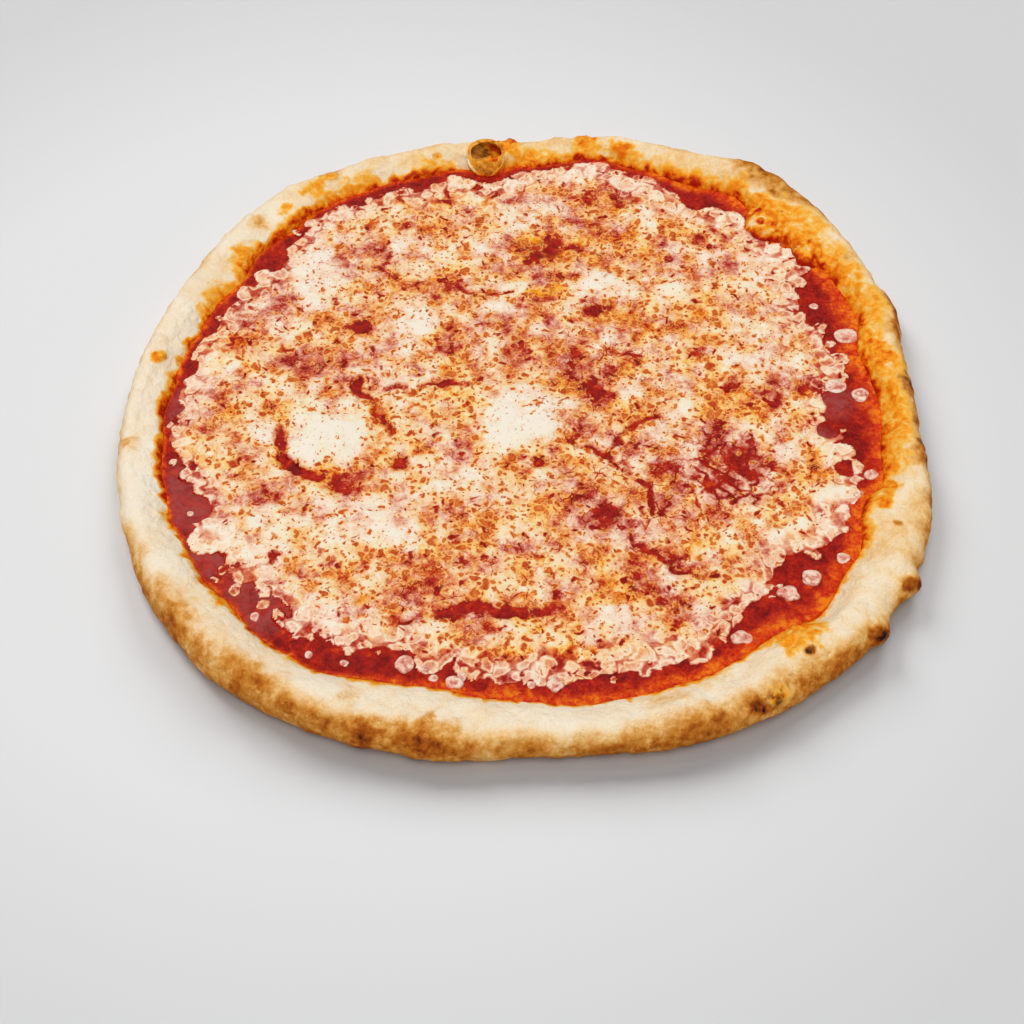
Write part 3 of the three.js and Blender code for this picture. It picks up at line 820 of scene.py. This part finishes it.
# The lobes that stand out most: x, y, size, narrowness, slant, how white in the middle
LARGE_LOBES = (
    (134, -25, 9, 0.55, 2.8, 0.62), (-130, -73, 9, 0.85, 0.9, 0.66), (-123, -68, 7, 0.8, 0.2, 0.4),
    (-28, 144, 8, 0.8, 0.0, 0.62), (-12, 143, 7, 0.8, 0.3, 0.56), (1, 146, 7, 0.7, 0.0, 0.6),
    (30, 149, 8.5, 0.8, 1.4, 0.66), (50, 142, 8, 0.7, 2.6, 0.6), (70, 128, 9, 0.7, 2.4, 0.6),
    (-125, -94, 2.8, 0.8, 0.3, 0.34), (-122, -89, 2.6, 0.8, 1.3, 0.32), (-116, -99, 3.6, 0.7, 1.2, 0.32),
    (-97, -112, 5.4, 0.45, 2.1, 0.34), (-104, -106, 3.4, 0.7, 0.4, 0.3), (-88, -120, 3.6, 0.6, 0.5, 0.34),
    (90, 119, 8, 0.8, 0.3, 0.5), (99, 115, 8.5, 0.8, 1.0, 0.66), (120, 95, 8.5, 0.7, 0.6, 0.66),
    (128, 86, 7, 0.8, 1.8, 0.5),
)
kept = smooth(-0.2, 0.9, ragged)
melt = 0.52 + (melt - 0.52) * (0.4 + 0.6 * smooth(0, 10, ragged))
melt = np.maximum(melt * kept - 0.3 * (1 - kept), lobe_melt)

# Flat bays of sauce in the margin: x, y, reach
for x, y, reach_in in (
    (140, 4, 7.5), (139, -7, 7), (132, -14, 5), (137, -35, 3.5), (113, -88, 7), (102, -109, 6),
    (-138, -58, 7.5), (-106, -112, 6), (-79, -130, 6), (94, 134, 6), (-62, -132, 5),
):
    bay = (distance_to(spots, x, y) - reach_in) / 1.2 + hills(spots, 5, 125)
    ragged = np.minimum(ragged, np.maximum(bay, -2))
    melt = np.minimum(melt, np.clip(bay, -0.3, 2))
lobe_melt[:] = -1
for x, y, size, narrow, slant, clear in LARGE_LOBES:
    add_lobe(x, y, size, narrow, slant, clear)
melt = np.maximum(melt, lobe_melt)

# The blanket's top: low over thin cheese, and sinking under the sauce where there is none
thickness = (0.6 + 0.7 * smooth(0, 14, ragged)) * np.clip(melt - 0.1, -0.35, 1.2)
mound = 1.5 * near(-86, -20, 19) + 1.2 * near(0, -5, 22) + 0.9 * near(-92, 80, 18)
mound += 0.8 * near(34, 75, 16) + 0.8 * near(55, 115, 16) + 0.6 * near(-110, -73, 20)
top = SAUCE_LEVEL + thickness + mound * 0.6 + 0.08 * hills(spots, 2.2, 123) * (melt > 0.2)
spots[:, 2] = np.maximum(top, SINK)

level_spots = spots * [1, 1, 0]
oily = 0.4 + 0.2 * hills(level_spots, 30, 130) + 0.32 * hills(level_spots, 14, 131)
oily += 0.4 * hills(level_spots, 6.5, 133) + 0.3 * hills(level_spots, 3.2, 134)
# x, y, along, across, how much yellower
OILY_CHEESE = (
    (11, 69, 9, 5, 3.0), (50, 3, 20, 28, 0.4), (48, 30, 14, 16, 0.3), (-5, -60, 24, 14, 0.35),
    (7, 97, 14, 11, 2.6), (-72, 48, 6, 8, 0.6), (75, 60, 18, 22, 0.3), (-91, 52, 9, 7, 0.4),
    (30, -145, 30, 6, 0.5), (20, -128, 40, 10, 0.35), (-20, 110, 18, 10, 0.2),
)
for x, y, along, wide, more in OILY_CHEESE:
    oily += more * near(x, y, along, wide)
for x, y, along, wide, lean, thicker in THICK_PLACES[:6]:
    oily -= 0.5 * near(x, y, along, wide, lean)
oily -= 0.6 * near(87, -40, 28, 22, -38)
oily *= 1 - 0.6 * smooth(14, 3, edge - reach)

shredded = np.clip(0.25 + 0.6 * near(50, -45, 60, 45) + 0.4 * near(40, 20, 40, 40)
                   + 0.4 * near(-20, -90, 60, 30), 0, 1)

move_corners(cheese, spots)
coat(cheese, "melt", melt)
coat(cheese, "oily", np.clip(oily, 0, 2))
coat(cheese, "shredded", shredded)
lacy = smooth(20, 4, edge - reach + 5 * hills(level_spots, 18, 132))
coat(cheese, "lacy", np.clip(lacy, 0, 1))
coat(cheese, "broken", near(87, -40, 30, 24, -38))

# The grid is cut away outside the blanket, and its edge is drawn down to a flat underside
bpy.ops.object.mode_set(mode="EDIT")
bpy.ops.mesh.select_mode(type="VERT")
bpy.ops.mesh.select_all(action="DESELECT")
bpy.ops.object.mode_set(mode="OBJECT")
foot = np.interp(turn, bearings[at_cad_columns], ring_radius[at_cad_columns, -1], period=360)
outside = (ragged < -1.3) | (reach > foot - 0.5)
cheese.data.vertices.foreach_set("select", outside)
bpy.ops.object.mode_set(mode="EDIT")
bpy.ops.mesh.delete(type="VERT")
bpy.ops.mesh.select_all(action="DESELECT")
bpy.ops.mesh.select_non_manifold(extend=False, use_wire=False, use_multi_face=False,
                                 use_non_contiguous=False, use_verts=False)
bpy.ops.mesh.extrude_edges_move()
bpy.ops.object.mode_set(mode="OBJECT")
skirt = np.empty(len(cheese.data.vertices), bool)
cheese.data.vertices.foreach_get("select", skirt)
shape = corners_of(cheese)
shape[skirt, 2] = CHEESE_UNDERSIDE / 1000
cheese.data.vertices.foreach_set("co", shape.ravel())
bpy.ops.object.mode_set(mode="EDIT")
bpy.ops.mesh.fill_holes(sides=0)
bpy.ops.mesh.select_all(action="SELECT")
bpy.ops.mesh.normals_make_consistent(inside=False)
bpy.ops.object.mode_set(mode="OBJECT")
bpy.ops.object.shade_smooth()

melted, melted_shader = new_material("melted_mozzarella")
melt_here = stored("melt")
oily_here = stored("oily")
shred_share = stored("shredded")
curds = mottle(6, 0.12, 4, 0.8, 0.62)
specks = mottle(2.4, 0.24, 2, 1.0)


def pulled_about(pitch, amount, shift=0.0):
    """Places pulled about by a noise, both in millimetres, so that cells there lose their roundness"""
    pull = add_node("TexNoise", Vector=place_on((shift, 0.4, 0.1)),
                    Scale=1000 / pitch, Detail=1.5).outputs["Color"]
    pull = add_node("VectorMath", {"operation": "SCALE"}, i0=pull,
                    Scale=amount / 1000).outputs[0]
    return add_node("VectorMath", {"operation": "ADD"}, i0=pull, i1=place_on()).outputs[0]


def larger(first, second):
    return add_node("Math", {"operation": "MAXIMUM"}, i0=first, i1=second).outputs[0]


# Thin red seams between the shreds, and wide ones in the broken patch
crooked = pulled_about(6.2, 9, 0.7)
broken = stored("broken")
shred_cells = add_node("TexVoronoi", {"feature": "DISTANCE_TO_EDGE", "voronoi_dimensions": "2D"},
                       Vector=crooked, Scale=110.0).outputs["Distance"]
seam_width = ranged(broken, 0.0, 1.0, 0.05, 0.15)
seam_share = product(shred_share, ranged(mottle(9, 0.44, 1), 0.48, 0.6, 0.0, 1.0))
seams = product(ranged(shred_cells, 0.0, seam_width, 1.0, 0.0), larger(seam_share, broken))

# Near the margin the blanket breaks up into clear blobs with white rims
blob_cells = add_node("TexVoronoi", {"voronoi_dimensions": "2D"}, Vector=crooked,
                      Scale=170.0).outputs["Distance"]
blob_rim = product(ranged(blob_cells, 0.26, 0.36, 0.0, 1.0),
                   ranged(blob_cells, 0.4, 0.5, 1.0, 0.0))
blob_gap = ranged(blob_cells, 0.44, 0.62, 0.0, 1.0)
lacy = stored("lacy")
blobs = sum_of(product(blob_rim, 0.2), product(blob_gap, -0.25))
blobs = product(blobs, lacy)

curdled = sum_of(ranged(curds, 0.3, 0.7, -0.18, 0.18),
                 ranged(specks, 0.3, 0.7, -0.12, 0.12))


def thread(size, shift, width):
    """Thin curly lines: where a noise passes through its middle value"""
    middle = sum_of(mottle(size, shift, 0.6, 0.5), -0.5)
    middle = add_node("Math", {"operation": "ABSOLUTE"}, i0=middle).outputs[0]
    return ranged(middle, 0.0, width, 1.0, 0.0)


def round_spots(pitch, smallest, largest, shift):
    """How far from the middle of an uneven round spot, as a share of that spot's own reach"""
    cells = add_node("TexVoronoi", {"voronoi_dimensions": "2D"},
                     Vector=pulled_about(pitch * 0.7, pitch * 1.1, shift), Scale=1000 / pitch)
    luck = add_node("SeparateColor", Color=cells.outputs["Color"]).outputs[0]
    own_reach = ranged(luck, 0.0, 1.0, smallest / pitch, largest / pitch)
    return add_node("Math", {"operation": "DIVIDE"}, i0=cells.outputs["Distance"],
                    i1=own_reach).outputs[0]


curdled = sum_of(curdled, product(thread(5.5, 0.15, 0.03), -0.14))
curdled = sum_of(curdled, product(thread(4.5, 0.45, 0.03), 0.12))
depth = sum_of(melt_here, product(curdled, ranged(lacy, 0.0, 1.0, 1.0, 0.5)))
depth = sum_of(depth, product(seams, -0.5))
depth = sum_of(depth, blobs)
pinholes = round_spots(9.5, 0.2, 1.6, 0.9)
depth = sum_of(depth, ranged(pinholes, 0.5, 1.2, -0.45, 0.0))
pink_cheese = graded(depth, (
    (0.16, (160, 28, 16)), (0.27, (186, 68, 50)), (0.38, (206, 114, 94)),
    (0.5, (229, 166, 140)), (0.64, (242, 202, 172)), (0.8, (247, 222, 198)),
    (1.0, (247, 236, 217)),
))
orange_cheese = graded(depth, (
    (0.16, (170, 32, 2)), (0.27, (204, 70, 4)), (0.38, (228, 118, 16)),
    (0.5, (244, 166, 60)), (0.64, (248, 200, 120)), (0.8, (248, 216, 158)),
    (1.0, (246, 230, 196)),
))
cheese_colour = blended(oily_here, pink_cheese, orange_cheese)

# Where it's oiliest the oil stands in a golden puddle, brown where the cheese under it is thin
golden_oil = graded(depth, (
    (0.2, (150, 46, 4)), (0.4, (196, 88, 10)), (0.58, (244, 152, 18)), (0.8, (250, 184, 50)),
))
cheese_colour = blended(ranged(oily_here, 1.3, 1.75, 0.0, 1.0, "SMOOTHSTEP"),
                        cheese_colour, golden_oil)

# Small bubbles have browned: orange spots with a darker ring, most of them where it's oily.
# Pitch, smallest and largest reach, shift, how far the yellow glow round them reaches
BROWNED_SPOTS = ((5.4, 0.35, 1.5, 0.31, 2.6), (3.1, 0.2, 0.75, 0.62, 1.8))
fewer = product(ranged(oily_here, 0.0, 0.8, 1.7, 0.85),
                ranged(mottle(10, 0.81, 1), 0.35, 0.65, 1.5, 0.75))
fewer = product(fewer, ranged(lacy, 0.3, 0.9, 1.0, 2.6))
fewer = product(fewer, ranged(melt_here, 0.8, 1.15, 1.0, 2.2))
redder = ranged(mottle(6, 0.47, 1), 0.4, 0.62, 0.0, 0.85)
for pitch, smallest, largest, shift, glow in BROWNED_SPOTS:
    from_spot = product(round_spots(pitch, smallest, largest, shift), fewer)
    spot_colour = graded(ranged(from_spot, 0.0, 2.5, 0.0, 1.0), (
        (0.0, (234, 146, 62)), (0.2, (216, 104, 34)), (0.32, (200, 78, 20)), (0.43, (230, 136, 52)),
        (0.62, (250, 192, 100)), (1.0, (250, 214, 140)),
    ))
    red_share = product(redder, ranged(from_spot, 0.7, 1.5, 1.0, 0.0))
    spot_colour = blended(red_share, spot_colour, colour(184, 50, 14))
    spot_share = ranged(from_spot, 0.7, glow, 1.0, 0.0, "SMOOTHSTEP")
    cheese_colour = blended(spot_share, cheese_colour, spot_colour)

# Where the blanket has parted, the sauce under it is seen
bare_colour = sauce_colours()[0]
parted = ranged(depth, 0.14, 0.27, 1.0, 0.0, "SMOOTHSTEP")
cheese_colour = blended(parted, cheese_colour, bare_colour)
set_inputs(melted_shader, Base_Color=cheese_colour, Normal=bump(depth, 0.6, 0.6),
           Roughness=ranged(depth, 0.1, 0.9, 0.24, 0.38), Specular_IOR_Level=0.07,
           Subsurface_Weight=0.06, Subsurface_Radius=(0.0022, 0.0012, 0.0007), Subsurface_Scale=1.0)
cheese.data.materials.append(melted)
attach(cheese, "root")
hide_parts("cheese")

# --- The loose drops of cheese ---
# Single shreds that melted by themselves on the bare sauce, as low translucent puddles.

drop_cheese, drop_shader = new_material("drop_cheese")
drop_mottle = mottle(2.4, 0.77, 2, 0.8)
drop_colour = graded(sum_of(drop_mottle, stored("pale_rim")), (
    (0.32, (196, 92, 70)), (0.46, (222, 148, 124)), (0.58, (238, 192, 168)), (0.72, (244, 220, 200)),
))
set_inputs(drop_shader, Base_Color=drop_colour, Roughness=0.3, Normal=bump(drop_mottle, 0.5, 0.6),
           Subsurface_Weight=0.3, Subsurface_Radius=(0.002, 0.0008, 0.0006), Subsurface_Scale=1.0)


def melted_drop(name, x, y, size, height, seed, fineness=3):
    """One puddle: an icosphere pressed flat and pulled out of round"""
    bpy.ops.mesh.primitive_ico_sphere_add(subdivisions=fineness, radius=1)
    drop = bpy.context.object
    drop.name = name
    ball = corners_of(drop)
    lean = np.random.default_rng(seed).uniform(0.75, 1.1, 2)
    low = ball * [size * lean[0], size * lean[1], 1]
    low[:, :2] *= 1 + 0.22 * hills(ball + seed, 0.9, seed)[:, None]
    dimple = 1 - 0.45 * np.exp(-(ball[:, 0] ** 2 + ball[:, 1] ** 2) * 5)
    low[:, 2] = np.where(ball[:, 2] > 0, height * ball[:, 2] ** 0.7 * dimple,
                         -0.5 * np.abs(ball[:, 2]) ** 0.7)
    low += [x, y, SAUCE_LEVEL - 0.05]
    move_corners(drop, low)
    from_centre = np.hypot(ball[:, 0], ball[:, 1])
    ring = smooth(0.4, 0.8, from_centre) * (1 - smooth(0.9, 1, from_centre))
    coat(drop, "pale_rim", 0.12 * ring + 0.1 * hills(ball * size, 2.6, seed + 1) - 0.04)
    bpy.ops.object.shade_smooth()
    drop.data.materials.append(drop_cheese)
    return drop


for index in range(1, 10):
    node = "cheese_drop_%02d" % index
    low_corner, high_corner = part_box(node)
    centre = (low_corner + high_corner) * 500 - MIDDLE
    width = (high_corner - low_corner) * 500
    drop = melted_drop("loose_drop_%02d" % index, centre.x, centre.y,
                       (width.x + width.y) / 2 * 1.05, 1.5, 200 + index, 4)
    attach(drop, "root")
    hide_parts(node)

# x, y, size of the smaller crumbs that lie on the sauce between them
CRUMB_PLACES = (
    (138, 11.5, 4.6), (140, -50, 2.4), (131, -83, 3.0), (115, -94, 2.2),
    (-24, -140, 2.2), (-38, -137, 2.0), (3, -144, 2.2), (-35, -141, 1.8), (54, 89, 2.4),
    (-138, -60, 1.8), (-107, -112, 2.2), (-84, -130, 2.0), (-70, -134, 1.8), (133, 60, 2.0),
)
crumbs = [melted_drop("crumb", x, y, size, 0.3 + size * 0.12, 300 + order)
          for order, (x, y, size) in enumerate(CRUMB_PLACES)]
join_to_first(crumbs)
small_crumbs = crumbs[0]
small_crumbs.name = "cheese_crumbs"
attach(small_crumbs, "root")

# --- The table and the light ---
# A pale grey surface without an edge in view, whose colour has painted shade that darkens it a little away
# from the pizza.
# It has lamps of its own, so that the pizza is lit evenly and its shadow is long and soft.

bpy.ops.mesh.primitive_plane_add(size=8)
table = bpy.context.object
table.name = "table"
pale_grey, table_shader = new_material("pale_grey")
# Painted shade: the grey darkens with distance from a point a little to the left of the pizza, so its
# right is darker
away = add_node("VectorMath", {"operation": "LENGTH"}, i0=place_on((0.06, 0.0, 0.0))).outputs["Value"]
painted_shade_grey = graded(away, (
    (0.2, (227, 227, 227)), (0.34, (210, 210, 210)), (0.7, (206, 206, 206)),
))
set_inputs(table_shader, Base_Color=painted_shade_grey, Roughness=0.85, Specular_IOR_Level=0.1)
table.data.materials.append(pale_grey)

studio = bpy.data.worlds.new("studio")
studio.use_nodes = True
set_inputs(studio.node_tree.nodes["Background"], Color=colour(250, 250, 252), Strength=0.16)
bpy.context.scene.world = studio

# Low lamps behind throw the shadow on the table, and high wide ones light the pizza evenly.
# Bearing and height in degrees, spread, strength, and what the lamp lights: None is everything
table_alone = bpy.data.collections.new("table_alone")
table_alone.objects.link(table)
all_but_table = bpy.data.collections.new("all_but_table")
all_but_table.objects.link(table)
all_but_table.collection_objects[0].light_linking.link_state = "EXCLUDE"
LAMPS = (
    (120, 29, 28, 2.4, table_alone), (72, 29, 28, 1.6, table_alone),
    (110, 60, 70, 1.4, all_but_table), (270, 45, 60, 0.95, all_but_table),
    (275, 72, 60, 0.7, None),
)
for bearing, lift, spread, strength, lit in LAMPS:
    bpy.ops.object.light_add(type="SUN", location=(0, 0, 1))
    lamp = bpy.context.object
    lamp.data.angle = math.radians(spread)
    lamp.data.energy = strength
    if lit is not None:
        lamp.light_linking.receiver_collection = lit
    lift = math.radians(lift)
    towards = Vector(ringed(math.cos(lift), math.sin(lift), math.radians(bearing)))
    lamp.rotation_euler = (-towards).to_track_quat("-Z", "Y").to_euler()

# A small lamp high at the back puts the glints on the wet sauce and cheese
GLINT_LAMP = (-260, 640, 1500)
bpy.ops.object.light_add(type="AREA", location=in_frame(GLINT_LAMP))
lamp = bpy.context.object
lamp.data.size = 0.16
lamp.data.energy = 0.9
lamp.rotation_euler = (-in_frame(GLINT_LAMP)).to_track_quat("-Z", "Y").to_euler()
